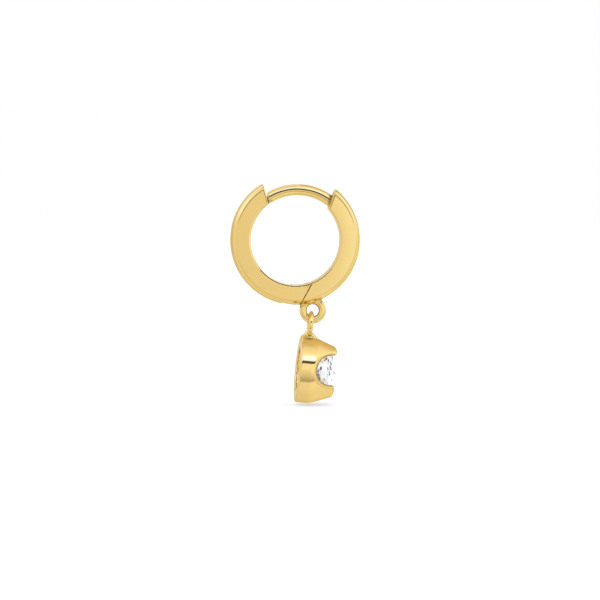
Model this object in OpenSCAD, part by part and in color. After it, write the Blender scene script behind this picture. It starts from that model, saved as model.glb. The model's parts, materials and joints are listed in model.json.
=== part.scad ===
// Hinged hoop earring with a hanging charm: a thick two-part hoop with a curved ear post,
// and a drum-shaped setting with one round stone that swings on a loop under the hoop.
// The hoop stands in the XZ plane, the middle of the ear post is the origin, and the stone faces +X.

/* [Hoop] */
// Outside diameter of the hoop
hoop_d = 12.5; // [12.2:0.1:13.2]
// Width of the band, across the hoop's plane
band_w = 2.2; // [2:0.1:2.8]
// Thickness of the band, from its inside to the crest of its outside
band_t = 1.92; // [1.86:0.02:2.04]
// Rise of the domed outside over its two edges
dome_rise = 0.43; // [0.25:0.01:0.5]
// Bevel along the band's two inside edges
inner_bevel = 0.22; // [0.1:0.02:0.3]

/* [Ear post] */
// Diameter of the post's wire
post_d = 1.05; // [0.95:0.05:1.1]
// Bend radius of the post's centre line
post_bend_r = 5.17; // [5.1:0.01:5.25]
// Width of the flat tongue at the post's free end
tongue_w = 0.8; // [0.6:0.05:0.9]
// Thickness of that tongue
tongue_t = 0.43; // [0.3:0.01:0.45]
// Length of the tongue inside the latch half
tongue_reach = 1.15; // [0.8:0.05:1.3]

/* [Hinge] */
// Diameter of the hinge pin
pin_d = 0.6; // [0.5:0.02:0.64]
// Width of the hinge tongue between the two ears
knuckle_w = 0.8; // [0.7:0.05:0.9]
// Radius of the hinge tongue's round end
knuckle_r = 0.75; // [0.7:0.01:0.78]
// Running clearance round the pin and the hinge tongue
play = 0.04; // [0.03:0.01:0.06]

/* [Charm loop] */
// Diameter of the loop's wire
loop_wire_d = 0.71; // [0.62:0.01:0.74]
// Radius of the loop's centre line
loop_r = 0.93; // [0.91:0.01:0.96]

/* [Charm setting] */
// Greatest diameter of the setting
drum_d = 6.4; // [6.3:0.02:6.5]
// Depth of the setting from its open back to the tips of the two lobes
drum_depth = 3.65; // [3.55:0.05:3.8]
// Slope of the setting's tapered front
taper = 20.5; // [18:0.5:23]
// Radius of the round scoop in each side
scoop_r = 1.46; // [1.3:0.02:1.5]
// Thickness of the wall at the open back
back_wall = 0.74; // [0.6:0.02:0.8]
// Diameter of the bail's wire
bail_wire_d = 0.46; // [0.4:0.01:0.48]
// Outside diameter of the bail
bail_d = 2.6; // [2.5:0.02:2.64]
// Angle by which the charm hangs nose-down
charm_tilt = 5.8; // [4:0.2:8]

/* [Stone] */
// Diameter of the stone's girdle
stone_d = 4.2; // [4:0.02:4.22]
// Table diameter as a share of the girdle's
table_share = 0.56; // [0.5:0.01:0.6]
// Slope of the crown's main facets
crown_angle = 34.5; // [32:0.5:36]
// Slope of the pavilion's main facets
pavilion_angle = 40.8; // [40:0.1:41.5]

/* [Hidden] */

gold = "#E3C26E";
clear_white = "#EAF0F6";
fine = 128;

// the hoop's centre lies under the post, which sits a little inside the band's middle line
hoop_r = hoop_d / 2;
hoop_in = hoop_r - band_t;
dome_r = (pow(band_w / 2, 2) + pow(dome_rise, 2)) / (2 * dome_rise);
post_sink = 0.47;
hoop_c = [0, post_sink + band_t / 2 - hoop_r];

// where the halves end, as the angle from the hoop's top at the outside and at the inside
latch_cut = [-30, -37];
post_cut = [38.1, 46.5];
seam_cut = [176.1, 157.7];
seam_gap = 0.06;

// the post is soldered into one half, and its free end has a shoulder and a flat tongue
post_c = [0.19, -post_bend_r];
post_root = 50;
shoulder_x = -2.63;
tongue_at = [-2.68, -0.82];
latch_mouth_x = -2.76;
pocket_play = 0.045;
pocket_spare = 0.12;

// a thin lip, the pocket's floor, runs on under the post's shoulder
lip_tip_x = -2.31;
lip_w = 1.5;
lip_play = 0.04;

// the pin lies in blind holes, so both side faces stay plain
pin_c = hoop_c + [-0.385, -(hoop_r - band_t / 2 + 0.15)];
pin_l = band_w - 0.2;
pin_fit = 0.01;
slot_w = knuckle_w + 0.1;
slot_reach = 3;
knuckle_cut = 0.1;
knuckle_reach = 2.2;
tongue_path_r = norm(tongue_at - pin_c);
tongue_under_r = tongue_path_r - tongue_t / 2;

loop_c = hoop_c + [1.7, -(hoop_r + 0.54)];

// the bail's top wire lies low in the loop, a little left of its middle, and the drum hangs under it
drum_r = drum_d / 2;
bail_r = (bail_d - bail_wire_d) / 2;
bail_from_back = 0.8;
bail_sink = 0.12;
bail_rise = drum_r - bail_sink + bail_wire_d / 2 + 2 * bail_r;
link_gap = 0.03;
link_x = -0.14;
link_reach = loop_r - (loop_wire_d + bail_wire_d) / 2 - link_gap;
axis_dir = [cos(charm_tilt), -sin(charm_tilt)];
up_dir = [sin(charm_tilt), cos(charm_tilt)];
pivot = loop_c + [link_x, -sqrt(pow(link_reach, 2) - pow(link_x, 2))];
drum_c = pivot - bail_from_back * axis_dir - bail_rise * up_dir;

// the drum's wall: rounded back rim, straight part, soft bend into the taper, blunt lobe tips,
// and a ledge under the stone; the scoops lie a little above the drum's axis
rim_round = 0.22;
rim_inner_round = 0.18;
bend_from_back = 1.06;
bend_r = 2;
tip_r = 0.35;
taper_from_back = bend_from_back + bend_r * tan(taper / 2);
tip_c = [
    drum_r + (taper_from_back - drum_depth + tip_r) * tan(taper) - tip_r / cos(taper), drum_depth - tip_r
];
scoop_from_back = 3.08;
scoop_lift = 0.27;
ledge_t = 0.18;

// the bail's solder foot is a low cone that reaches the back rim
foot_r = 0.78;
foot_top_r = 0.28;
foot_rise = 0.5;

// a round brilliant: eight-sided table, star, kite and split facets, thin girdle, pointed back
stone_r = stone_d / 2;
girdle_back = 2.83;
girdle_t = 0.07;
girdle_front = girdle_back + girdle_t;
seat_gap = 0.03;
sides = 8;
step = 360 / sides;
table_r = table_share * stone_r;
star_share = 0.52;
split_share = 0.77;
star_r = table_r * cos(step / 2) + star_share * (stone_r - table_r * cos(step / 2));
table_z = girdle_front + (stone_r - table_r) * tan(crown_angle);
star_z = girdle_front + (stone_r - star_r * cos(step / 2)) * tan(crown_angle);
split_r = (1 - split_share) * stone_r;
point_z = girdle_back - stone_r * tan(pavilion_angle);
split_z = point_z + split_r * cos(step / 2) * tan(pavilion_angle);

function on_hoop(angle, r) = hoop_c + r * [sin(angle), cos(angle)];
function arc(centre, r, from, to, n) =
    [for (i = [0:n]) let (a = from + (to - from) * i / n) centre + r * [cos(a), sin(a)]];
function circle_row(n, r, z, turn) =
    [for (i = [0:n - 1]) let (a = turn + i * 360 / n) [r * cos(a), r * sin(a), z]];

// a flat outline in the hoop's plane is given a width across that plane
module across(width) { rotate([90, 0, 0]) linear_extrude(width, center = true) children(); }
module at(p) { translate([p[0], 0, p[1]]) children(); }
module cross_rod(r, width) { rotate([90, 0, 0]) cylinder(r = r, h = width, center = true, $fn = fine); }
module cross_ring(r_in, r_out, width) {
    rotate([90, 0, 0]) rotate_extrude($fn = 2 * fine)
        translate([r_in, -width / 2]) square([r_out - r_in, width]);
}
module wire_ring(r, wire_d) { rotate_extrude($fn = fine) translate([r, 0]) circle(d = wire_d, $fn = 64); }
module in_charm() { at(drum_c) rotate([0, charm_tilt, 0]) children(); }

// band section: domed outside, flat sides, and a flat inside with two small bevels
module band_section() {
    intersection() {
        translate([hoop_r - dome_r, 0]) circle(r = dome_r, $fn = fine);
        polygon([
            [hoop_in, inner_bevel - band_w / 2], [hoop_in + inner_bevel, -band_w / 2],
            [hoop_d, -band_w / 2], [hoop_d, band_w / 2],
            [hoop_in + inner_bevel, band_w / 2], [hoop_in, band_w / 2 - inner_bevel],
        ]);
    }
}

module band() { at(hoop_c) rotate([90, 0, 0]) rotate_extrude($fn = 2 * fine) band_section(); }

// side is -1 for the latch half and 1 for the post half, and the cuts run on past the band
module half_outline(end_cut, side) {
    end_out = on_hoop(end_cut[0], hoop_r);
    end_in = on_hoop(end_cut[1], hoop_in);
    seam_out = on_hoop(seam_cut[0], hoop_r) + [side * seam_gap / 2, 0];
    seam_in = on_hoop(seam_cut[1], hoop_in) + [side * seam_gap / 2, 0];
    end_run = (end_out - end_in) / 3;
    seam_run = (seam_out - seam_in) / 3;
    polygon([
        hoop_c, end_in - end_run, end_out + end_run, [side * hoop_d, hoop_r],
        [side * hoop_d, -2 * hoop_d], [seam_out[0], -2 * hoop_d], seam_out + seam_run, seam_in - seam_run,
    ]);
}

module band_half(end_cut, side) {
    intersection() {
        band();
        across(2 * band_w) half_outline(end_cut, side);
    }
}

module ear_post() {
    root_dir = [sin(post_root), cos(post_root)];
    difference() {
        intersection() {
            at(post_c) rotate([90, 0, 0]) wire_ring(post_bend_r, post_d);
            across(band_w) polygon([
                post_c, post_c + 2 * post_bend_r * root_dir, [hoop_r, hoop_r],
                [shoulder_x, hoop_r], [shoulder_x, post_c[1]],
            ]);
        }
        lip_room();
    }
    latch_tongue(tongue_t, tongue_w, latch_mouth_x - tongue_reach, shoulder_x + 0.3);
}

// the tongue and the lip under it follow circles about the hinge pin, so they slide without binding
module latch_tongue(thick, width, x_from, x_to) {
    intersection() {
        at(pin_c) cross_ring(tongue_path_r - thick / 2, tongue_path_r + thick / 2, width);
        translate([x_from, -band_w, post_c[1]]) cube([x_to - x_from, 2 * band_w, post_bend_r + hoop_r]);
    }
}

module lip() {
    intersection() {
        at(pin_c) cross_rod(tongue_under_r - pocket_play, lip_w);
        at(hoop_c) cross_ring(hoop_in, hoop_r - dome_rise, lip_w);
        translate([lip_tip_x - 0.8, -band_w, hoop_c[1]]) cube([0.8, 2 * band_w, hoop_r]);
    }
}

module lip_room() {
    intersection() {
        at(pin_c) cross_rod(tongue_under_r, 2 * band_w);
        translate([-hoop_r, -band_w, hoop_c[1]]) cube([hoop_r + lip_tip_x + lip_play, 2 * band_w, hoop_r]);
    }
}

module hinge_knuckle() {
    intersection() {
        band();
        translate([pin_c[0] + knuckle_cut, -knuckle_w / 2, pin_c[1] - knuckle_reach])
            cube([knuckle_reach, knuckle_w, 2 * knuckle_reach]);
    }
    at(pin_c) cross_rod(knuckle_r, knuckle_w);
}

// room for the knuckle while the latch half turns: round behind the pin, open to the right and below
module hinge_slot() {
    room_r = knuckle_r + play;
    at(pin_c) cross_rod(room_r, slot_w);
    translate([pin_c[0] - play, -slot_w / 2, pin_c[1]]) cube([slot_reach, slot_w, slot_reach]);
    translate([pin_c[0] - room_r, -slot_w / 2, pin_c[1] - slot_reach]) cube([slot_reach, slot_w, slot_reach]);
}

module post_half() {
    color(gold) difference() {
        union() {
            band_half(post_cut, 1);
            hinge_knuckle();
            ear_post();
            at(loop_c) rotate([90, 0, 0]) wire_ring(loop_r, loop_wire_d);
        }
        at(pin_c) cross_rod(pin_d / 2 + play, 2 * band_w);
    }
}

module latch_half() {
    color(gold) difference() {
        union() {
            band_half(latch_cut, -1);
            lip();
        }
        latch_tongue(tongue_t + 2 * pocket_play, tongue_w + 2 * pocket_play,
            latch_mouth_x - tongue_reach - pocket_spare, shoulder_x);
        hinge_slot();
        at(pin_c) cross_rod(pin_d / 2 + pin_fit, pin_l + 4 * pin_fit);
    }
}

module hinge_pin() { color(gold) at(pin_c) cross_rod(pin_d / 2, pin_l); }

// the drum's section, as distance from its axis and distance from its back
module drum_section() {
    wall_in = drum_r - back_wall;
    seat_r = stone_r + seat_gap;
    ledge_drop = 0.42;
    ledge_in = [seat_r - ledge_drop / tan(pavilion_angle), girdle_back - seat_gap - ledge_drop];
    polygon(concat(
        arc([drum_r - rim_round, rim_round], rim_round, -90, 0, 6),
        arc([drum_r - bend_r, bend_from_back], bend_r, 0, taper, 8),
        arc(tip_c, tip_r, taper, 195, 8),
        [
            [stone_r - 0.12, girdle_front + 0.13],
            [seat_r, girdle_front + 0.02],
            [seat_r, girdle_back - seat_gap],
            ledge_in,
            ledge_in - [0, ledge_t],
            [wall_in - 0.12, 1.55],
        ],
        arc([wall_in + rim_inner_round, rim_inner_round], rim_inner_round, 180, 270, 4)
    ));
}

module bail() {
    translate([bail_from_back, 0, bail_rise - bail_r]) rotate([0, 90, 0]) wire_ring(bail_r, bail_wire_d);
    translate([bail_from_back, 0, drum_r]) rotate_extrude($fn = fine) polygon([
        [0, foot_rise], [0, -back_wall / 2], [foot_r, -back_wall / 2], [foot_r, -0.02], [foot_top_r, foot_rise],
    ]);
}

module charm_setting() {
    color(gold) in_charm() {
        difference() {
            rotate([0, 90, 0]) rotate_extrude($fn = 2 * fine) drum_section();
            translate([scoop_from_back, 0, scoop_lift]) {
                cross_rod(scoop_r, 2 * drum_d);
                translate([0, -drum_d, -scoop_r]) cube([drum_depth, 2 * drum_d, 2 * scoop_r]);
            }
        }
        bail();
    }
}

module stone() {
    table = 0;
    star = table + sides;
    front = star + sides;
    back = front + 2 * sides;
    split = back + 2 * sides;
    point = split + sides;
    points = concat(
        circle_row(sides, table_r, table_z, 0),
        circle_row(sides, star_r, star_z, step / 2),
        circle_row(2 * sides, stone_r, girdle_front, 0),
        circle_row(2 * sides, stone_r, girdle_back, 0),
        circle_row(sides, split_r, split_z, step / 2),
        [[0, 0, point_z]]
    );
    faces = concat(
        [[for (i = [sides - 1:-1:0]) table + i]],
        [for (i = [0:sides - 1]) [table + i, table + (i + 1) % sides, star + i]],
        [for (i = [0:sides - 1]) [table + i, star + i, front + 2 * i, star + (i + sides - 1) % sides]],
        [for (i = [0:sides - 1]) [star + i, front + 2 * i + 1, front + 2 * i]],
        [for (i = [0:sides - 1]) [star + i, front + (2 * i + 2) % (2 * sides), front + 2 * i + 1]],
        [for (k = [0:2 * sides - 1]) let (n = (k + 1) % (2 * sides))
            [front + k, front + n, back + n, back + k]],
        [for (i = [0:sides - 1]) [split + i, back + 2 * i, back + 2 * i + 1]],
        [for (i = [0:sides - 1]) [split + i, back + 2 * i + 1, back + (2 * i + 2) % (2 * sides)]],
        [for (i = [0:sides - 1]) [point, split + (i + sides - 1) % sides, back + 2 * i, split + i]]
    );
    color(clear_white) in_charm() rotate([0, 90, 0]) polyhedron(points, faces);
}

post_half();
latch_half();
hinge_pin();
charm_setting();
stone();
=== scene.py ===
import json
import math

import bmesh
import bpy
import numpy as np
from mathutils import Matrix, Vector


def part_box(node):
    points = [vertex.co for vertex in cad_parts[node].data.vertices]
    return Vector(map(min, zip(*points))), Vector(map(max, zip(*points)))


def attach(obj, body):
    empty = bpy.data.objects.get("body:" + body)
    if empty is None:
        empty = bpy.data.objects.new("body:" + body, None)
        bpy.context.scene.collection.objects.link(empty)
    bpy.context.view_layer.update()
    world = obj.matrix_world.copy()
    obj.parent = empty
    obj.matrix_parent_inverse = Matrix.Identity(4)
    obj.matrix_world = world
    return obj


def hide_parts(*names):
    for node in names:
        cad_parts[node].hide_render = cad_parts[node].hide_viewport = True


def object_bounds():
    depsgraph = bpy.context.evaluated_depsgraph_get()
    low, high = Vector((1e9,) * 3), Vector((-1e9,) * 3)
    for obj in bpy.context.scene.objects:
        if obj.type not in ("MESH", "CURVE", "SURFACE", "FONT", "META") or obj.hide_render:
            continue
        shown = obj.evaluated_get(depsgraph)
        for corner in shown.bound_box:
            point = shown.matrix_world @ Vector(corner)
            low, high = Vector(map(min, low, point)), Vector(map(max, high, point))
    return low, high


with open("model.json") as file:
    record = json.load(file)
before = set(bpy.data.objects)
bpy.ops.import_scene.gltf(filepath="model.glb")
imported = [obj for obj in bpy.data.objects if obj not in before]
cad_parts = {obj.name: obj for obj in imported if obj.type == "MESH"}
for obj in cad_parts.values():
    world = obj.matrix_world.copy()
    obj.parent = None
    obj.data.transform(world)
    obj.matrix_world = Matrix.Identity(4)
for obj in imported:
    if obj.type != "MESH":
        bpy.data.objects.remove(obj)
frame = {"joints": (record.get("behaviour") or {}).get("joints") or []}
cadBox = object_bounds()

# Hinged hoop earring with a hanging charm. Shapes are worked out in millimetres and built in metres.
mm = 0.001
joints = {joint["name"]: joint for joint in frame["joints"]}
latchBox = [[v / mm for v in corner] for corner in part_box("latch_half")]
pinCentre = [joints["hoop_hinge"]["pos_m"][i] / mm for i in (0, 2)]
charmPivot = [joints["charm_swing"]["pos_m"][i] / mm for i in (0, 2)]
print("frame loaded, pin at", pinCentre, "charm hangs from", charmPivot)


# Distance fields: each gives, for rows of points, how far they lie outside a shape (minus inside it).
def roundMax(a, b, radius):  # where two faces meet in an outside edge of this radius
    corner = np.hypot(np.maximum(a + radius, 0), np.maximum(b + radius, 0))
    return np.minimum(np.maximum(a, b), -radius) + corner


def roundMin(a, b, radius):  # two shapes joined by a solder fillet of this radius
    return -roundMax(-a, -b, radius)


def lineDistance(p, x, z):  # from a line that runs across the hoop at this place
    return np.hypot(p[:, 0] - x, p[:, 2] - z)


def pinDistance(p):
    return lineDistance(p, *pinCentre)


def outlineField(points, x, z):  # a flat outline, run on without end across its plane
    nearest = np.full(x.shape, np.inf)
    sign = np.ones(x.shape)
    for (ax, az), (bx, bz) in zip(points, points[-1:] + points[:-1]):
        ex, ez, wx, wz = bx - ax, bz - az, x - ax, z - az
        along = np.clip((wx * ex + wz * ez) / (ex * ex + ez * ez), 0, 1)
        nearest = np.minimum(nearest, (wx - ex * along) ** 2 + (wz - ez * along) ** 2)
        low, high, left = z >= az, z < bz, ex * wz > ez * wx
        sign = np.where((low & high & left) | ~(low | high | left), -sign, sign)
    return sign * np.sqrt(nearest)


def ringField(p, centre, radius, wire):  # a wire ring that lies in the hoop's plane
    return np.hypot(lineDistance(p, *centre) - radius, p[:, 1]) - wire / 2


def boxField(p, low, high):
    outside = [np.maximum(low[i] - p[:, i], p[:, i] - high[i]) for i in range(3)]
    return np.maximum(np.maximum(outside[0], outside[1]), outside[2])


def slope(field, p, step=0.002):  # the way out of the shape, at each point
    out = np.empty(p.shape)
    for axis in range(3):
        shift = np.zeros(3)
        shift[axis] = step
        out[:, axis] = (field(p + shift) - field(p - shift)) / (2 * step)
    return out / np.maximum(np.linalg.norm(out, axis=1, keepdims=True), 1e-9)


# How a field becomes a mesh
mesher = {
    "turns": 5,  # how often the corners are set down on the surface
    "evenTurns": 3,  # the first of these turns also even the corners out
    "evenBy": 0.6,
    "room": 0.15,  # left round a piece for the grid
    "feelers": (0.12, 0.35, 0.8),  # how far out each corner feels for other metal
}


def settled(field, corners, quads, cell):  # the corners evened out along the surface and set down on it
    ends = np.concatenate([quads[:, [i, (i + 1) % 4]] for i in range(4)])
    start, end = ends[:, 0], ends[:, 1]
    count = len(corners)
    degree = np.bincount(start, minlength=count) + np.bincount(end, minlength=count)
    for turn in range(mesher["turns"]):
        if turn < mesher["evenTurns"]:
            total = [np.bincount(start, corners[end, i], count) + np.bincount(end, corners[start, i], count)
                     for i in range(3)]
            mean = np.stack(total, 1) / degree[:, None]
            corners = corners + mesher["evenBy"] * (mean - corners)
        out = slope(field, corners)
        reach = np.clip(field(corners), -cell / 2, cell / 2)
        corners = corners - reach[:, None] * out
    return corners


def fieldSurface(field, low, high, cell):
    # one corner in each grid cell that the surface crosses, one quad round each grid edge it crosses
    low, high = np.array(low, float), np.array(high, float)
    count = np.ceil((high - low) / cell).astype(int) + 1
    lines = [low[axis] + cell * np.arange(count[axis]) for axis in range(3)]
    grid = np.stack(np.meshgrid(*lines, indexing="ij"), -1)
    value = field(grid.reshape(-1, 3)).reshape(count)
    total = np.zeros(tuple(count - 1) + (3,))
    hits = np.zeros(tuple(count - 1))
    crossed = []
    for axis in range(3):
        u, v = (axis + 1) % 3, (axis + 2) % 3
        first = tuple(slice(0, -1) if i == axis else slice(None) for i in range(3))
        second = tuple(slice(1, None) if i == axis else slice(None) for i in range(3))
        a, b = value[first], value[second]
        crosses = (a < 0) != (b < 0)
        share = np.where(crosses, a / np.where(crosses, a - b, 1), 0)
        point = grid[first].copy()
        point[..., axis] += share * cell
        point *= crosses[..., None]
        for du in (0, 1):
            for dv in (0, 1):
                part = [slice(None)] * 3
                part[u] = slice(du, du + count[u] - 1)
                part[v] = slice(dv, dv + count[v] - 1)
                total += point[tuple(part)]
                hits += crosses[tuple(part)]
        crossed.append((axis, u, v, crosses, a < 0))
    number = np.cumsum(hits > 0).reshape(hits.shape) - 1
    corners = total[hits > 0] / hits[hits > 0][:, None]
    quads = []
    for axis, u, v, crosses, outward in crossed:
        inner = [slice(None)] * 3
        inner[u] = inner[v] = slice(1, -1)
        where = np.argwhere(crosses[tuple(inner)])
        where[:, u] += 1
        where[:, v] += 1
        ring = []
        for du, dv in ((1, 1), (0, 1), (0, 0), (1, 0)):
            index = where.copy()
            index[:, u] -= du
            index[:, v] -= dv
            ring.append(number[tuple(index.T)])
        ring = np.stack(ring, 1)
        facing = outward[tuple(where.T)]
        quads.append(np.where(facing[:, None], ring, ring[:, ::-1]))
    quads = np.concatenate(quads)
    corners = settled(field, corners, quads, cell)
    return corners, quads, slope(field, corners)


def gridBox(node):  # the box of the solid that a piece stands for, with room for the grid
    low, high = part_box(node)
    return [v / mm - mesher["room"] for v in low], [v / mm + mesher["room"] for v in high]


def newPiece(name, mesh):
    piece = bpy.data.objects.new(name, mesh)
    bpy.context.collection.objects.link(piece)
    return piece


def fieldPiece(name, field, node, cell, recesses=None):
    corners, quads, normals = fieldSurface(field, *gridBox(node), cell)
    mesh = bpy.data.meshes.new(name)
    mesh.from_pydata((corners * mm).tolist(), [], quads.tolist())
    mesh.shade_smooth()
    mesh.normals_split_custom_set_from_vertices(normals.tolist())
    # how far each corner lies in a recess, felt out along its normal; the gold's colour is darkened by it as
    # painted shade
    near = [np.clip(1 - field(corners + reach * normals) / reach, 0, 1) for reach in mesher["feelers"]]
    recess = sum(near) / len(near)
    if recesses:
        recess = recesses(corners, recess)
    mesh.attributes.new("recess", "FLOAT", "POINT").data.foreach_set("value", recess)
    print(name, "built with", len(quads), "quads")
    return newPiece(name, mesh)


# The hoop: a thick band with a domed outside, cut into two halves
hoop = {
    "radius": -latchBox[0][0],
    "width": latchBox[1][1] - latchBox[0][1],
    "thickness": 1.92,
    "domeRise": 0.43,
    "innerRoll": (0.15, 11),  # the faces roll off this far before the inner edge, at this slope in degrees
    "crown": 0.03,  # how far the post half's faces fall off towards their outer edge
    "edgeRadius": 0.05,  # polish on the edges between the faces
    "seamRadius": 0.025,
    "endRadius": 0.16,
    "postSink": 0.47,  # the ear post lies this far inside the band's middle line
    "latchCut": (-30, -37),  # where each half ends, as angles from the top, outside and inside
    "postCut": (38.1, 46.5),
    "seamCut": (176.1, 157.7),
    "seamGap": 0.06,
    "cutRunOut": 0.35,  # how far each cut runs on past the band, as a share of its length
    "cell": 0.048,  # grid that the halves are meshed on
}
hoopInner = hoop["radius"] - hoop["thickness"]
hoopCentre = (0.0, hoop["postSink"] + hoop["thickness"] / 2 - hoop["radius"])
domeRadius = ((hoop["width"] / 2) ** 2 + hoop["domeRise"] ** 2) / (2 * hoop["domeRise"])
clear = 5  # farther out across the hoop than any metal


def onHoop(angle, radius, shift=0.0):
    turn = math.radians(angle)
    return (hoopCentre[0] + radius * math.sin(turn) + shift, hoopCentre[1] + radius * math.cos(turn))


def cutEnds(cut, shift=0.0):  # the two ends of a cut through the band, run on past it
    outer = onHoop(cut[0], hoop["radius"], shift)
    inner = onHoop(cut[1], hoopInner, shift)
    along = [hoop["cutRunOut"] * (outer[i] - inner[i]) for i in (0, 1)]
    return (outer[0] + along[0], outer[1] + along[1]), (inner[0] - along[0], inner[1] - along[1])


def bandField(p, crown=0.0):
    radial = lineDistance(p, *hoopCentre)
    beside = np.abs(p[:, 1]) - hoop["width"] / 2
    outward = np.clip((radial - hoopInner) / hoop["thickness"], 0, 1)
    side = beside + crown * outward ** 2
    dome = np.hypot(radial - hoop["radius"] + domeRadius, p[:, 1]) - domeRadius
    rollFrom, rollSlope = hoop["innerRoll"]
    roll = math.radians(rollSlope)
    bevel = beside * math.cos(roll) + (hoopInner + rollFrom - radial) * math.sin(roll)
    shape = roundMax(dome, np.maximum(side, bevel), hoop["edgeRadius"])
    return roundMax(shape, hoopInner - radial, hoop["edgeRadius"])


def halfField(p, side, crown=0.0):  # side is 1 for the post half and -1 for the latch half
    x, z = p[:, 0], p[:, 2]
    far = 3 * hoop["radius"]
    latchOut, latchIn = cutEnds(hoop["latchCut"])
    postOut, postIn = cutEnds(hoop["postCut"])
    seamOut, seamIn = cutEnds(hoop["seamCut"], side * hoop["seamGap"] / 2)
    wedge = [hoopCentre, latchIn, latchOut, (latchOut[0], far), (postOut[0], far), postOut, postIn]
    other = [hoopCentre, seamIn, seamOut, (seamOut[0], -far),
             (-side * far, -far), (-side * far, far), (0, far)]
    shape = roundMax(bandField(p, crown), -outlineField(wedge, x, z), hoop["endRadius"])
    return roundMax(shape, -outlineField(other, x, z), hoop["seamRadius"])


# The ear post, soldered into one half, with a flat tongue that snaps into a pocket of the other
post = {
    "wire": 1.05,
    "bend": 5.17,
    "shift": 0.19,
    "rootAngle": 50,
    "shoulder": -2.63,
    "tongueAt": (-2.68, -0.82),
    "tongueWidth": 0.8,
    "tongueThick": 0.43,
    "tongueReach": (-3.91, -2.33),
    "tongueRoom": 2,  # its arc counts from this far above the origin to this far below its place
    "tongueFillet": 0.03,
    "solder": 0.07,
    "edgeRadius": 0.05,
}
pocket = {"play": 0.045, "room": 0.12, "edgeRadius": 0.03}
lip = {"tip": -2.31, "length": 0.8, "width": 1.5, "play": 0.045, "edgeRadius": 0.03, "fillet": 0.03}
tonguePath = math.dist(post["tongueAt"], pinCentre)
tongueBack = tonguePath - post["tongueThick"] / 2


def tongueField(p, play, ends):
    thick = np.abs(pinDistance(p) - tonguePath) - post["tongueThick"] / 2 - play
    wide = np.abs(p[:, 1]) - post["tongueWidth"] / 2 - play
    low = (ends[0], -clear, post["tongueAt"][1] - post["tongueRoom"])
    high = (ends[1], clear, post["tongueRoom"])
    shape = roundMax(thick, wide, post["edgeRadius"])
    return roundMax(shape, boxField(p, low, high), post["edgeRadius"])


def lipField(p):  # the pocket's floor, run on under the post's shoulder
    over = pinDistance(p) - tongueBack + lip["play"]
    thick = roundMax(over, hoopInner - lineDistance(p, *hoopCentre), lip["edgeRadius"])
    wide = np.abs(p[:, 1]) - lip["width"] / 2
    long = boxField(p, (lip["tip"] - lip["length"], -clear, hoopCentre[1]), (lip["tip"], clear, clear))
    return roundMax(roundMax(thick, wide, lip["edgeRadius"]), long, lip["edgeRadius"])


def postField(p):
    centre = (post["shift"], -post["bend"])
    root = math.radians(post["rootAngle"])
    far = 2 * post["bend"]
    reach = [
        centre, (centre[0] + far * math.sin(root), centre[1] + far * math.cos(root)),
        (far, far), (post["shoulder"], far), (post["shoulder"], centre[1]),
    ]
    wire = ringField(p, centre, post["bend"], post["wire"])
    shape = roundMax(wire, outlineField(reach, p[:, 0], p[:, 2]), post["edgeRadius"])
    # its underside makes room for the lip
    room = np.maximum(pinDistance(p) - tongueBack, p[:, 0] - lip["tip"] - lip["play"])
    shape = roundMax(shape, -room, lip["edgeRadius"])
    return roundMin(shape, tongueField(p, 0.0, post["tongueReach"]), post["tongueFillet"])


# The hinge: a tongue of the post half turns on a pin between two ears of the latch half
hinge = {
    "tongueWidth": 0.8, "tongueRadius": 0.75, "edgeRadius": 0.03,
    "cut": 0.1, "reach": 2.2,  # the tongue's arm starts this far from the pin and ends this far from it
    "slotWidth": 0.9, "play": 0.04,
    "pin": 0.6, "pinFit": 0.01, "pinInset": 0.1, "pinBevel": 0.05, "pinSides": 48,
}


def knuckleField(p):
    wide = np.abs(p[:, 1]) - hinge["tongueWidth"] / 2
    low = (pinCentre[0] + hinge["cut"], -clear, pinCentre[1] - hinge["reach"])
    high = (pinCentre[0] + hinge["reach"], clear, pinCentre[1] + hinge["reach"])
    arm = np.maximum(bandField(p), boxField(p, low, high))
    shape = np.minimum(arm, pinDistance(p) - hinge["tongueRadius"])
    return roundMax(shape, wide, hinge["edgeRadius"])


def slotField(p):
    wide = np.abs(p[:, 1]) - hinge["slotWidth"] / 2
    room = hinge["tongueRadius"] + hinge["play"]
    above = np.maximum(pinCentre[0] - hinge["play"] - p[:, 0], pinCentre[1] - p[:, 2])
    below = np.maximum(pinCentre[0] - room - p[:, 0], p[:, 2] - pinCentre[1])
    return np.maximum(np.minimum(np.minimum(above, below), pinDistance(p) - room), wide)


# The charm loop: a small wire ring soldered under the post half, beside the seam
loop = {
    "x": 1.7, "below": 0.54, "radius": 0.93, "wire": 0.71, "solder": 0.2,
    "dull": (0.13, 0.2, 0.5),  # painted shade and haze up to this far from its hole's edge, with this fade, at most by this
}
loopCentre = (hoopCentre[0] + loop["x"], hoopCentre[1] - hoop["radius"] - loop["below"])


def postHalfField(p):
    shape = halfField(p, 1, hoop["crown"])
    shape = roundMin(shape, ringField(p, loopCentre, loop["radius"], loop["wire"]), loop["solder"])
    shape = np.minimum(shape, knuckleField(p))
    shape = roundMin(shape, postField(p), post["solder"])
    return np.maximum(shape, hinge["pin"] / 2 + hinge["play"] - pinDistance(p))


# paints shade round the hole's edge by raising its recess value there
def loopRecesses(p, recess):
    reach, fade, most = loop["dull"]
    fromHole = lineDistance(p, *loopCentre) - loop["radius"] + loop["wire"] / 2
    return np.maximum(recess, np.clip((reach - fromHole) / fade, 0, most))


# Marks of the work on the latch half: a low burr of solder inside, beside the seam, and a nick over the hinge
burr = {"angle": 165, "lift": 0.12, "size": 0.16, "long": 2, "wide": 3.4, "fillet": 0.1}
nick = {"angle": 191, "radius": 0.11, "edgeRadius": 0.03}


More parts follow.
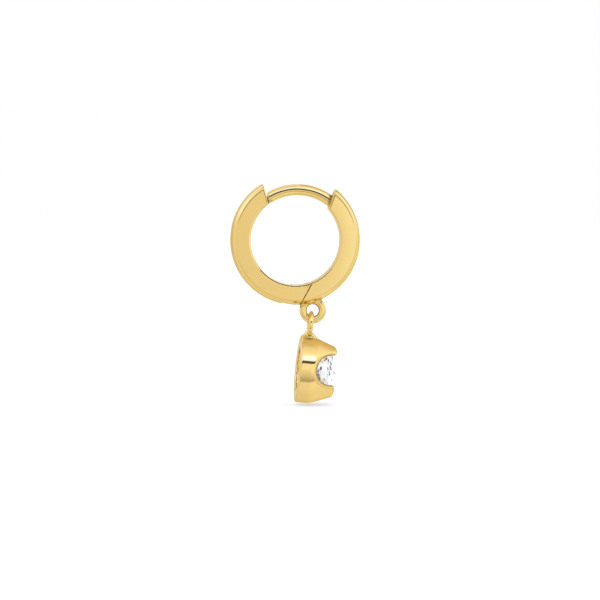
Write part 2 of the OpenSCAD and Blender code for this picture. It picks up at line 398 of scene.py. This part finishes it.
def burrField(p):
    x, z = onHoop(burr["angle"], hoopInner + burr["lift"])
    turn = math.radians(burr["angle"])
    along = (p[:, 0] - x) * math.cos(turn) - (p[:, 2] - z) * math.sin(turn)
    out = (p[:, 0] - x) * math.sin(turn) + (p[:, 2] - z) * math.cos(turn)
    return np.sqrt((along / burr["long"]) ** 2 + out ** 2 + (p[:, 1] / burr["wide"]) ** 2) - burr["size"]


def latchHalfField(p):
    shape = roundMin(halfField(p, -1), lipField(p), lip["fillet"])
    shape = roundMin(shape, burrField(p), burr["fillet"])
    nickDistance = lineDistance(p, *onHoop(nick["angle"], hoop["radius"]))
    shape = roundMax(shape, nick["radius"] - nickDistance, nick["edgeRadius"])
    pocketEnds = (post["tongueReach"][0] - pocket["room"], post["shoulder"])
    shape = roundMax(shape, -tongueField(p, pocket["play"], pocketEnds), pocket["edgeRadius"])
    shape = roundMax(shape, -slotField(p), hinge["edgeRadius"])
    holeHalf = hoop["width"] / 2 - hinge["pinInset"] + 2 * hinge["pinFit"]
    hole = np.maximum(pinDistance(p) - hinge["pin"] / 2 - hinge["pinFit"], np.abs(p[:, 1]) - holeHalf)
    return np.maximum(shape, -hole)


postHalf = fieldPiece("postHalf", postHalfField, "post_half", hoop["cell"], loopRecesses)
latchHalf = fieldPiece("latchHalf", latchHalfField, "latch_half", hoop["cell"])

# The setting: a bulged drum, open at the back, scooped at both sides, with its bail soldered on top
drum = {
    "diameter": 6.4, "depth": 3.65,
    "bend": 2.0, "bendFrom": 1.06, "taper": 20.5,  # the wall bends in from this depth, down to this slope
    "rimRadius": 0.22, "tipRadius": 0.35, "innerEdge": 0.12,
    "wall": 0.74,
    "lip": (0.36, 0.2, 0.7),  # how far the back lip stands in, and between which depths it ends
    "throat": (0.12, 1.55),  # how far the wall has closed in, and at which depth
    "grip": (0.12, 0.02, 0.13),  # how far the rim over the girdle stands in, and where it starts and ends
    "mouth": ((0.28, -0.35), (0.1, 0.3)),  # the opening's wall: how far in, and how far past the tips' depth
    "scoop": 1.42, "scoopFrom": 3.08, "scoopLift": 0.27,  # the scoops' radius, and where their centre lies
    "scoopEdge": (0.1, 0.2),  # how round their edge is at the bottom and at the tips
    "dish": 0.4, "dishSlope": 42,  # the metal dips towards a scoop over this distance, to this slope
    "scoopShade": (0.95, 0.16, 0.46),  # how much painted shade and haze the cut walls get at the edge, the fade, and the most
    "tilt": 5.8,
    "bail": 2.6, "bailWire": 0.46, "bailFrom": 0.8, "bailSink": 0.12,
    "bailShadeCut": (0.2, 0.3),  # from this height over the drum, the painted recess shade and haze are cut to this share
    "foot": 0.78, "footTop": 0.28, "footRise": 0.5, "footEdge": 0.1, "solder": 0.14,
    "topDull": {"From Min": 0.66, "From Max": 0.8, "To Max": 0.28},  # by how far a face looks up to the bail
    "cell": 0.05,
}
stone = {
    "diameter": 4.2, "girdle": 0.07, "table": 0.56, "crown": 34.5, "pavilion": 40.8,
    "girdleBack": 2.83,  # the girdle lies this far in front of the drum's back
    "star": 0.52,  # how far the star facets reach from the table to the girdle
    "split": 0.23,  # how far from the middle the lower split facets end, as a share of the radius
    "fold": 8, "sides": 96,  # main facets round the stone, and sides of the blank that it is cut from
    "gap": 0.03, "ledge": 0.42, "ledgeThick": 0.18,  # its seat in the setting
    # the painted glow makes the stone light up though it is no lamp
    "ior": 2.42, "clear": 0.55, "paintedGlow": 0.27,
    # painted facet whites and dark flashes, which stand in for the stone's inner reflections
    "facetNoise": 6.0, "facetTones": {"From Min": 0.4, "From Max": 0.58, "To Min": 0.75},
    "flashes": (3600, 1500, 1300), "flashShift": (-1.73, 0, 0),
    "flashTurn": (3, 3, 3),  # how much the flashes of one facet differ from the next one's
    "flashNoise": {"Scale": 1.0, "Detail": 3.0}, "flashTones": ((0.4, 0.03), (0.45, 1.0)),
}
drumRadius = drum["diameter"] / 2
stoneRadius = stone["diameter"] / 2
girdleFront = stone["girdleBack"] + stone["girdle"]
bailRadius = (drum["bail"] - drum["bailWire"]) / 2
bailRise = drumRadius - drum["bailSink"] + drum["bailWire"] / 2 + 2 * bailRadius
tilt = math.radians(drum["tilt"])
charmAxis = (math.cos(tilt), -math.sin(tilt))  # the way the stone faces
charmUp = (math.sin(tilt), math.cos(tilt))
drumBack = [charmPivot[i] - drum["bailFrom"] * charmAxis[i] - bailRise * charmUp[i] for i in (0, 1)]


def inCharm(p):  # distance from the drum's open back, across and up from its axis
    x, z = p[:, 0] - drumBack[0], p[:, 2] - drumBack[1]
    return x * charmAxis[0] + z * charmAxis[1], p[:, 1], x * charmUp[0] + z * charmUp[1]


def scoopDistance(depth, up):
    return np.hypot(np.minimum(depth - drum["scoopFrom"], 0), up - drum["scoopLift"]) - drum["scoop"]


def drumInside():  # the outline of the hollow, as radius and depth, from the back to the front
    far = 9
    lipIn, lipEnd, wallStart = drum["lip"]
    throatIn, throatDepth = drum["throat"]
    gripIn, gripStart, gripEnd = drum["grip"]
    wall = drumRadius - drum["wall"]
    seat = stoneRadius + stone["gap"]
    seatBack = stone["girdleBack"] - stone["gap"]
    ledge = (seat - stone["ledge"] / math.tan(math.radians(stone["pavilion"])), seatBack - stone["ledge"])
    mouth = [(stoneRadius - inward, drum["depth"] + past) for inward, past in drum["mouth"]]
    return [
        (-far, -far), (wall - lipIn, -far), (wall - lipIn, lipEnd), (wall, wallStart),
        (wall - throatIn, throatDepth), (ledge[0], ledge[1] - stone["ledgeThick"]), ledge,
        (seat, seatBack), (seat, girdleFront + gripStart), (stoneRadius - gripIn, girdleFront + gripEnd),
        *mouth, (stoneRadius, far), (-far, far),
    ]


def bailField(depth, across, up):  # the bail's ring, and the low cone of solder round its root
    out, high = np.hypot(depth - drum["bailFrom"], across), up - drumRadius
    flank = math.atan2(drum["foot"] - drum["footTop"], drum["footRise"])
    foot = (out - drum["foot"]) * math.cos(flank) + high * math.sin(flank)
    foot = roundMax(np.maximum(foot, out - drum["foot"]), high - drum["footRise"], drum["footEdge"])
    foot = np.maximum(foot, -high - drum["wall"] / 2)
    ring = np.hypot(np.hypot(across, up - bailRise + bailRadius) - bailRadius, depth - drum["bailFrom"])
    return roundMin(foot, ring - drum["bailWire"] / 2, drum["solder"])


def settingField(p):
    depth, across, up = inCharm(p)
    radial = np.hypot(across, up)
    taper = math.radians(drum["taper"])
    out, along = radial - drumRadius + drum["bend"], depth - drum["bendFrom"]
    cone = out * math.cos(taper) + along * math.sin(taper)
    bend = np.where(along * math.cos(taper) > out * math.sin(taper), cone, np.hypot(out, along))
    shape = np.where(along < 0, out, bend) - drum["bend"]
    shape = roundMax(shape, -depth, drum["rimRadius"])
    shape = roundMax(shape, depth - drum["depth"], drum["tipRadius"])
    scoop = scoopDistance(depth, up)
    near = np.maximum(drum["dish"] - scoop, 0)
    shape = shape + near ** 2 / (2 * drum["dish"]) * math.tan(math.radians(drum["dishSlope"]))
    tip = np.clip((depth - drum["scoopFrom"]) / (drum["depth"] - drum["scoopFrom"]), 0, 1)
    bottomEdge, tipEdge = drum["scoopEdge"]
    shape = roundMax(shape, -scoop, bottomEdge + (tipEdge - bottomEdge) * tip)
    shape = roundMax(shape, -outlineField(drumInside(), radial, depth), drum["innerEdge"])
    return roundMin(shape, bailField(depth, across, up), drum["solder"])


def settingRecesses(p, recess):  # the painted recess shade is cut back on the bail, and painted shade is laid along the scoops' cut walls, which also grow rougher
    depth, across, up = inCharm(p)
    edge, fade, most = drum["scoopShade"]
    bailShadeFrom, bailShadeShare = drum["bailShadeCut"]
    cut = np.clip(edge - scoopDistance(depth, up) / fade, 0, most)
    return np.maximum(np.where(up > drumRadius + bailShadeFrom, bailShadeShare * recess, recess), cut)


setting = fieldPiece("charmSetting", settingField, "charm_setting", drum["cell"], settingRecesses)


# The stone: a round blank cut facet by facet, each plane set by its slope and its reach
def cutStone():
    back, front = stone["girdleBack"], girdleFront
    crown, pavilion = math.radians(stone["crown"]), math.radians(stone["pavilion"])
    half = math.radians(180 / stone["fold"])  # half the turn between two main facets
    tableRadius = stone["table"] * stoneRadius
    tableDepth = front + (stoneRadius - tableRadius) * math.tan(crown)
    tableFlat = tableRadius * math.cos(half)
    starRadius = tableFlat + stone["star"] * (stoneRadius - tableFlat)
    starDepth = front + (stoneRadius - starRadius * math.cos(half)) * math.tan(crown)
    starSlope = math.atan2(tableDepth - starDepth, starRadius - tableFlat)
    splitRadius = stone["split"] * stoneRadius
    splitDepth = back - (stoneRadius - splitRadius * math.cos(half)) * math.tan(pavilion)
    starFlat, splitFlat = starRadius * math.cos(half / 2), splitRadius * math.cos(half / 2)
    upperSlope = math.atan2(starDepth - front, stoneRadius - starFlat)
    lowerSlope = math.pi - math.atan2(back - splitDepth, stoneRadius - splitFlat)
    blank = bmesh.new()
    bmesh.ops.create_cone(blank, cap_ends=True, segments=stone["sides"], radius1=stoneRadius,
                          radius2=stoneRadius, depth=4 * drum["depth"])

    def facet(turn, tip, reach, depth):  # a plane tipped this far from the table, through a point of its side
        normal = Vector((math.cos(turn) * math.sin(tip), math.sin(turn) * math.sin(tip), math.cos(tip)))
        point = Vector((reach * math.cos(turn), reach * math.sin(turn), depth))
        geometry = blank.verts[:] + blank.edges[:] + blank.faces[:]
        cut = bmesh.ops.bisect_plane(blank, geom=geometry, plane_co=point, plane_no=normal, clear_outer=True)
        rim = [e for e in cut["geom_cut"] if isinstance(e, bmesh.types.BMEdge)]
        if rim:
            bmesh.ops.edgenet_fill(blank, edges=rim)

    facet(0, 0, 0, tableDepth)
    for i in range(stone["fold"]):
        turn = 2 * half * i
        facet(turn, crown, stoneRadius, front)
        facet(turn, math.pi - pavilion, stoneRadius, back)
        facet(turn + half, starSlope, starRadius, starDepth)
        for side in (-1, 1):  # split facets run from beside a main facet to the tip between two of them
            beside = turn + side * half / 2
            facet(beside, upperSlope, starFlat, starDepth)
            facet(beside, lowerSlope, splitFlat, splitDepth)
    bmesh.ops.recalc_face_normals(blank, faces=blank.faces[:])
    toCharm = Matrix(((-charmUp[0], 0, charmAxis[0], drumBack[0]), (0, 1, 0, 0),
                      (-charmUp[1], 0, charmAxis[1], drumBack[1]), (0, 0, 0, 1)))
    blank.transform(Matrix.Scale(mm, 4) @ toCharm)
    mesh = bpy.data.meshes.new("stone")
    blank.to_mesh(mesh)
    blank.free()
    print("stone cut with", len(mesh.polygons), "faces")
    return newPiece("brilliantStone", mesh)


brilliant = cutStone()


# The hinge pin: a plain rod with its ends bevelled
def lathePin():
    blank = bmesh.new()
    bmesh.ops.create_cone(blank, cap_ends=True, segments=hinge["pinSides"], radius1=hinge["pin"] / 2,
                          radius2=hinge["pin"] / 2, depth=hoop["width"] - 2 * hinge["pinInset"])
    ends = [e for e in blank.edges if abs(e.verts[0].co.z - e.verts[1].co.z) < 1e-6]
    bmesh.ops.bevel(blank, geom=ends, offset=hinge["pinBevel"], segments=3, affect="EDGES")
    place = Matrix.Translation((pinCentre[0], 0, pinCentre[1])) @ Matrix.Rotation(math.pi / 2, 4, "X")
    blank.transform(Matrix.Scale(mm, 4) @ place)
    mesh = bpy.data.meshes.new("hingePin")
    blank.to_mesh(mesh)
    blank.free()
    mesh.shade_smooth()
    print("pin turned with", len(mesh.polygons), "faces")
    return newPiece("hingePin", mesh)


pin = lathePin()


# Short ways to place nodes: a source is a socket to link from, or a fixed value
def feed(tree, source, socket):
    if isinstance(source, bpy.types.NodeSocket):
        tree.links.new(source, socket)
    else:
        socket.default_value = source


def mathNode(tree, operation, *sources):
    node = tree.nodes.new("ShaderNodeMath")
    node.operation = operation
    for source, socket in zip(sources, node.inputs):
        feed(tree, source, socket)
    return node.outputs[0]


def colourMix(tree, share, first, second, blend="MIX"):
    node = tree.nodes.new("ShaderNodeMix")
    node.data_type = "RGBA"
    node.blend_type = blend
    for name, source in (("Factor", share), ("A", first), ("B", second)):
        feed(tree, source, node.inputs[name])
    return node.outputs["Result"]


def mapRange(tree, source, ends, smooth=False):
    node = tree.nodes.new("ShaderNodeMapRange")
    node.interpolation_type = "SMOOTHSTEP" if smooth else "LINEAR"
    for name, end in ends.items():
        feed(tree, end, node.inputs[name])
    feed(tree, source, node.inputs["Value"])
    return node.outputs["Result"]


def noise(tree, vector, **settings):
    node = tree.nodes.new("ShaderNodeTexNoise")
    for name, value in settings.items():
        node.inputs[name].default_value = value
    feed(tree, vector, node.inputs["Vector"])
    return node.outputs["Fac"]


def toneRamp(tree, source, stops):  # each stop is a place from 0 to 1 and a grey or a colour
    node = tree.nodes.new("ShaderNodeValToRGB")
    elements = node.color_ramp.elements
    while len(elements) < len(stops):
        elements.new(0.5)
    for element, (place, tone) in zip(elements, stops):
        element.position = place
        element.color = (*tone, 1) if isinstance(tone, tuple) else (tone, tone, tone, 1)
    feed(tree, source, node.inputs["Fac"])
    return node.outputs["Color"]


def scaledPlace(tree, scale, shift=(0, 0, 0)):  # the place on the object, drawn out by this much each way
    node = tree.nodes.new("ShaderNodeMapping")
    node.inputs["Scale"].default_value = scale
    node.inputs["Location"].default_value = shift
    feed(tree, tree.nodes.new("ShaderNodeTexCoord").outputs["Object"], node.inputs["Vector"])
    return node.outputs["Vector"]


def newFinish(name, fixed):  # a material with what is the same all over set on its shader's own sockets
    material = bpy.data.materials.new(name)
    material.use_nodes = True
    shader = material.node_tree.nodes["Principled BSDF"]
    for socket, value in fixed.items():
        shader.inputs[socket].default_value = value
    return material, material.node_tree, shader


# The gold: two close tones in clouds, fine wheel marks, and painted shade in the corners, where it is also
# rougher
gold = {
    "polishAndShade": {
        "Tone": (0.95, 0.69, 0.255, 1), "Deep Tone": (0.93, 0.665, 0.235, 1),
        # the painted shade tone that corners and recesses are darkened towards, where it starts and ends, and
        # how much rougher they grow
        "Painted Shade Tone": (0.3, 0.18, 0.03, 1), "Recess From": 0.12, "Recess To": 0.5, "Recess Haze": 0.3,
        "Haze": 0.05, "Haze Spread": 0.03,
    },
    "shader": {"Metallic": 1.0, "Specular Tint": (0.75, 0.66, 0.45, 1)},
    # the paler tone painted on the metal where it is seen in reflections
    "paintedMirrorTone": (0.92, 0.76, 0.42, 1),
    "clouds": {"Scale": 350.0, "Detail": 3.0},
    "wheel": (9000, 1200, 2500),
    "marks": {"Scale": 1.0, "Detail": 4.0, "Roughness": 0.65},
    "relief": 0.0006,  # in mm
    "markRelief": 0.25,  # the marks' share of the relief, beside the clouds'
}


def polishAndShadeGroup():
    group = bpy.data.node_groups.new("jewellersPolishAndShade", "ShaderNodeTree")
    colour, number = "NodeSocketColor", "NodeSocketFloat"
    for name, value in gold["polishAndShade"].items():
        kind = colour if isinstance(value, tuple) else number
        group.interface.new_socket(name, in_out="INPUT", socket_type=kind).default_value = value
    for name, kind in (("Color", colour), ("Roughness", number), ("Height", number)):
        group.interface.new_socket(name, in_out="OUTPUT", socket_type=kind)
    given = group.nodes.new("NodeGroupInput").outputs
    result = group.nodes.new("NodeGroupOutput").inputs
    place = group.nodes.new("ShaderNodeTexCoord").outputs["Object"]
    clouds = noise(group, place, **gold["clouds"])
    alloy = colourMix(group, clouds, given["Tone"], given["Deep Tone"])
    # painted shade: in corners and recesses the gold's colour is darkened towards the painted shade tone, and
    # it is made rougher there too
    corner = group.nodes.new("ShaderNodeAttribute")
    corner.attribute_name = "recess"
    ends = {"From Min": given["Recess From"], "From Max": given["Recess To"]}
    cornerShadeAndHaze = mapRange(group, corner.outputs["Fac"], ends)
    feed(group, colourMix(group, cornerShadeAndHaze, alloy, given["Painted Shade Tone"]), result["Color"])
    # fine wheel marks: noise drawn out along the band
    marks = noise(group, scaledPlace(group, gold["wheel"]), **gold["marks"])
    haze = mathNode(group, "MULTIPLY_ADD", marks, given["Haze Spread"], given["Haze"])
    feed(group, mathNode(group, "MULTIPLY_ADD", cornerShadeAndHaze, given["Recess Haze"], haze), result["Roughness"])
    feed(group, mathNode(group, "MULTIPLY_ADD", marks, gold["markRelief"], clouds), result["Height"])
    return group


polishAndShade = polishAndShadeGroup()


def goldFinish(name):
    material, tree, shader = newFinish(name, gold["shader"])
    effect = tree.nodes.new("ShaderNodeGroup")
    effect.node_tree = polishAndShade
    for socket, value in gold["polishAndShade"].items():
        effect.inputs[socket].default_value = value
    # metal seen in metal keeps some of its paleness
    # painted reflection: where the metal is seen in other metal, its colour is painted with this paler tone
    glossy = tree.nodes.new("ShaderNodeLightPath").outputs["Is Glossy Ray"]
    tone = colourMix(tree, glossy, effect.outputs["Color"], gold["paintedMirrorTone"])
    feed(tree, tone, shader.inputs["Base Color"])
    feed(tree, effect.outputs["Roughness"], shader.inputs["Roughness"])
    bump = tree.nodes.new("ShaderNodeBump")
    bump.inputs["Strength"].default_value = 1.0
    bump.inputs["Distance"].default_value = gold["relief"] * mm
    feed(tree, effect.outputs["Height"], bump.inputs["Height"])
    feed(tree, bump.outputs["Normal"], shader.inputs["Normal"])
    return material


def dullTop(material):  # where it faces up to the bail, the setting was soldered and stayed less bright
    tree = material.node_tree
    roughness = tree.nodes["Principled BSDF"].inputs["Roughness"]
    lean = tree.nodes.new("ShaderNodeVectorMath")
    lean.operation = "DOT_PRODUCT"
    lean.inputs[1].default_value = (charmUp[0], 0, charmUp[1])
    feed(tree, tree.nodes.new("ShaderNodeTexCoord").outputs["Normal"], lean.inputs[0])
    dull = mapRange(tree, lean.outputs["Value"], drum["topDull"], smooth=True)
    feed(tree, mathNode(tree, "ADD", roughness.links[0].from_socket, dull), roughness)


def stoneFinish():
    material, tree, shader = newFinish("clearStone", {
        "Roughness": 0.0, "IOR": stone["ior"], "Transmission Weight": stone["clear"],
        "Emission Strength": stone["paintedGlow"],
    })
    # painted fire: each facet gets its own painted white, broken by painted dark flashes that stand in for
    # inner reflections; the same colours light the stone as painted glow
    facing = tree.nodes.new("ShaderNodeNewGeometry").outputs["True Normal"]
    facet = mapRange(tree, noise(tree, facing, Scale=stone["facetNoise"]), stone["facetTones"])
    place = scaledPlace(tree, stone["flashes"], stone["flashShift"])
    each = tree.nodes.new("ShaderNodeVectorMath")
    each.operation = "MULTIPLY_ADD"
    for source, socket in zip((facing, stone["flashTurn"], place), each.inputs):
        feed(tree, source, socket)
    flashes = noise(tree, each.outputs["Vector"], **stone["flashNoise"])
    light = colourMix(tree, 1.0, toneRamp(tree, flashes, stone["flashTones"]), facet, "MULTIPLY")
    for socket in ("Base Color", "Emission Color"):
        feed(tree, light, shader.inputs[socket])
    return material


polishedGold = goldFinish("polishedGold")
solderedGold = goldFinish("solderedGold")
dullTop(solderedGold)
clearStone = stoneFinish()
print("finishes mixed")

for piece, body, node, finish in (
    (postHalf, "hoop", "post_half", polishedGold),
    (latchHalf, "latch", "latch_half", polishedGold),
    (pin, "latch", "hinge_pin", polishedGold),
    (setting, "charm", "charm_setting", solderedGold),
    (brilliant, "charm", "stone", clearStone),
):
    piece.data.materials.append(finish)
    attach(piece, body)
    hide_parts(node)
print("pieces dressed")

# The studio: a white table, a sky whose light changes with the direction, and a dark card close in front.
# A stop of the sky is an angle and its light, as one number or as red, green and blue. The angle runs from
# the camera's side (0) over the top (90) to the back (180), and under the object (-90).
warmBack = (1.12, 1.03, 0.84)
blueBand = (1.06, 1.42, 2.9)
lowBack = ((-180, warmBack), (-165, 0.95), (-148, 0.98), (-125, 0.95))
tableFront = ((-48, 0.99), (-41, 1.0), (-40, 0.55), (-33, 0.53), (-20, 0.75))
overCamera = ((28, 1.06), (30, blueBand), (50, blueBand), (54, (1.06, 1.34, 2.1)), (58, (1.04, 1.19, 1.5)),
              (62, 1.1), (68, 1.02), (84, 0.92))
studio = {
    # the stops for directions that lie this far to the left (minus) or right; each set blends into the next,
    # and where None stands between them the blend starts there; a warm tone hangs over the charm
    "sky": (
        (-0.97, ((-180, 1.0), (180, 1.0))),
        (-0.84, (
            (-180, 0.77), (-160, 0.81), (-140, 0.9), (-115, 1.0), (-100, 0.94), (-85, 0.77), (-65, 0.81),
            (-50, 0.92), (-35, 0.81), (-12, 0.86), (12, 0.87), (35, 0.84), (60, 1.12), (85, 1.18),
            (105, (1.25, 1.42, 1.9)), (122, (1.25, 1.46, 2.2)), (140, (1.1, 1.28, 1.8)), (165, 0.86),
            (180, 0.77),
        )),
        (-0.45, (
            *lowBack, (-92, 0.89), (-80, 0.94), (-66, 0.975), *tableFront, (-13, 0.85), (-5, 0.89), (1, 0.95),
            (8, 1.06), *overCamera, (90, 0.88), (104, 0.96), (118, (1.06, 1.16, 1.45)),
            (140, (1.1, 1.2, 1.55)), (165, 0.92), (180, warmBack),
        )),
        (0.08, None),
        (0.13, (
            *lowBack, (-92, 0.86), (-80, 0.91), (-66, 0.95), *tableFront, (-13, 0.87),
            (-5, (0.965, 1.03, 1.16)), (1, (1.02, 1.1, 1.24)), (8, 1.08), *overCamera, (90, 0.86), (98, 0.78),
            (108, (0.8, 0.68, 0.5)), (116, (0.72, 0.58, 0.36)), (158, (0.76, 0.64, 0.42)), (168, 0.75),
            (180, warmBack),
        )),
        (0.45, None),
        (0.7, (
            (-180, 0.93), (-150, 0.91), (-130, 0.87), (-105, 0.79), (-85, 0.77), (-70, 0.87), (-48, 0.72),
            (-30, 0.79), (-12, 0.89), (15, 1.0), (34, 0.82), (50, 0.94), (60, 1.14), (76, 1.12), (90, 0.98),
            (105, (0.98, 1.05, 1.2)), (122, (1.0, 1.16, 1.55)), (150, (1.0, 1.16, 1.6)), (180, 0.93),
        )),
    ),
    "peak": 4.0,  # the ramps hold the light divided by this
    "gain": ((0.05, 0.92), (0.075, 1.0), (0.5, 1.06)),  # the studio grows lighter to the right of the camera
}


def skyWorld():
    world = bpy.data.worlds.new("studio")
    bpy.context.scene.world = world
    world.use_nodes = True
    tree = world.node_tree
    nodes = tree.nodes
    nodes.clear()
    towards = nodes.new("ShaderNodeSeparateXYZ")
    feed(tree, nodes.new("ShaderNodeTexCoord").outputs["Generated"], towards.inputs[0])
    side = towards.outputs["X"]
    near = mathNode(tree, "MULTIPLY", towards.outputs["Y"], -1)
    angle = mathNode(tree, "ARCTAN2", towards.outputs["Z"], near)
    turn = mapRange(tree, angle, {"From Min": -math.pi, "From Max": math.pi})

    def inRamp(light):
        levels = light if isinstance(light, tuple) else (light, light, light)
        return tuple(level / studio["peak"] for level in levels)

    light, last = None, 0
    for reach, stops in studio["sky"]:
        if stops:
            tones = toneRamp(tree, turn, [((at + 180) / 360, inRamp(level)) for at, level in stops])
            if light:
                share = mapRange(tree, side, {"From Min": last, "From Max": reach}, smooth=True)
                tones = colourMix(tree, share, light, tones)
            light = tones
        last = reach
    sky = nodes.new("ShaderNodeBackground")
    feed(tree, light, sky.inputs["Color"])
    gain = toneRamp(tree, mapRange(tree, side, {"From Min": -1}),
                    [((reach + 1) / 2, level) for reach, level in studio["gain"]])
    feed(tree, mathNode(tree, "MULTIPLY", gain, studio["peak"]), sky.inputs["Strength"])
    plain = nodes.new("ShaderNodeBackground")
    plain.inputs["Color"].default_value = (1, 1, 1, 1)
    choose = nodes.new("ShaderNodeMixShader")
    seen = nodes.new("ShaderNodeLightPath").outputs["Is Camera Ray"]
    for source, socket in zip((seen, sky.outputs[0], plain.outputs[0]), choose.inputs):
        feed(tree, source, socket)
    feed(tree, choose.outputs[0], nodes.new("ShaderNodeOutputWorld").inputs["Surface"])


skyWorld()


def flatPiece(name, corners, finishName, fixed):
    mesh = bpy.data.meshes.new(name)
    mesh.from_pydata([[c * mm for c in corner] for corner in corners], [], [(0, 1, 2, 3)])
    mesh.materials.append(newFinish(finishName, fixed)[0])
    return newPiece(name, mesh)


tableTop = {
    "half": 600.0,
    "below": 0.18,  # how far it lies under the charm
    "finish": {
        "Base Color": (0.9, 0.83, 0.72, 1), "Roughness": 0.9, "Specular IOR Level": 0.0,
        "Emission Color": (0.25, 0.31, 0.4, 1), "Emission Strength": 1.0,  # it is lit a little from below
    },
}


def layTable():
    half, height = tableTop["half"], cadBox[0][2] / mm - tableTop["below"]
    corners = [(-half, -half, height), (half, -half, height), (half, half, height), (-half, half, height)]
    table = flatPiece("table", corners, "whiteTable", tableTop["finish"])
    table.visible_glossy = False  # the metal mirrors the studio's own table tone


layTable()

cardShape = {
    "near": (-39.7, 0.3), "far": (-139.0, 77.0),  # its near and far edges, as y and z
    "spread": (-0.62, 1.0),  # how far it reaches to the left and right, as shares of the distance
    "finish": {
        "Base Color": (0, 0, 0, 1), "Specular IOR Level": 0.0,
        "Emission Color": (1, 1, 1, 1), "Emission Strength": 0.1,
    },
}


def hangCard():
    (nearY, nearZ), (farY, farZ) = cardShape["near"], cardShape["far"]
    left, right = cardShape["spread"]
    corners = [(left * -nearY, nearY, nearZ), (right * -nearY, nearY, nearZ),
               (right * -farY, farY, farZ), (left * -farY, farY, farZ)]
    card = flatPiece("darkCard", corners, "blackCard", cardShape["finish"])
    card.visible_camera = False
    card.visible_diffuse = False
    card.visible_shadow = False


hangCard()

shot = {
    "azimuth": -4.0, "elevation": 3.0, "distance": 300.0,
    "centre": (0.476, 0.0, -10.6),
    "width": 57.69,  # what the frame shows across at the centre's distance
    "sensor": 36.0,
    "clipStart": 5.0,
}


def shotCamera():
    data = bpy.data.cameras.new("shot")
    data.sensor_width = shot["sensor"]
    data.lens = shot["sensor"] * shot["distance"] / shot["width"]
    data.clip_start = shot["clipStart"] * mm
    camera = bpy.data.objects.new("shot", data)
    bpy.context.collection.objects.link(camera)
    azimuth, elevation = math.radians(shot["azimuth"]), math.radians(shot["elevation"])
    level = math.cos(elevation)
    away = Vector((math.sin(azimuth) * level, -math.cos(azimuth) * level, math.sin(elevation)))
    centre = Vector(shot["centre"]) * mm
    camera.location = centre + away * shot["distance"] * mm
    camera.rotation_euler = (centre - camera.location).to_track_quat("-Z", "Y").to_euler()
    bpy.context.scene.camera = camera


shotCamera()
bpy.context.scene.view_settings.view_transform = "Standard"
print("studio set")
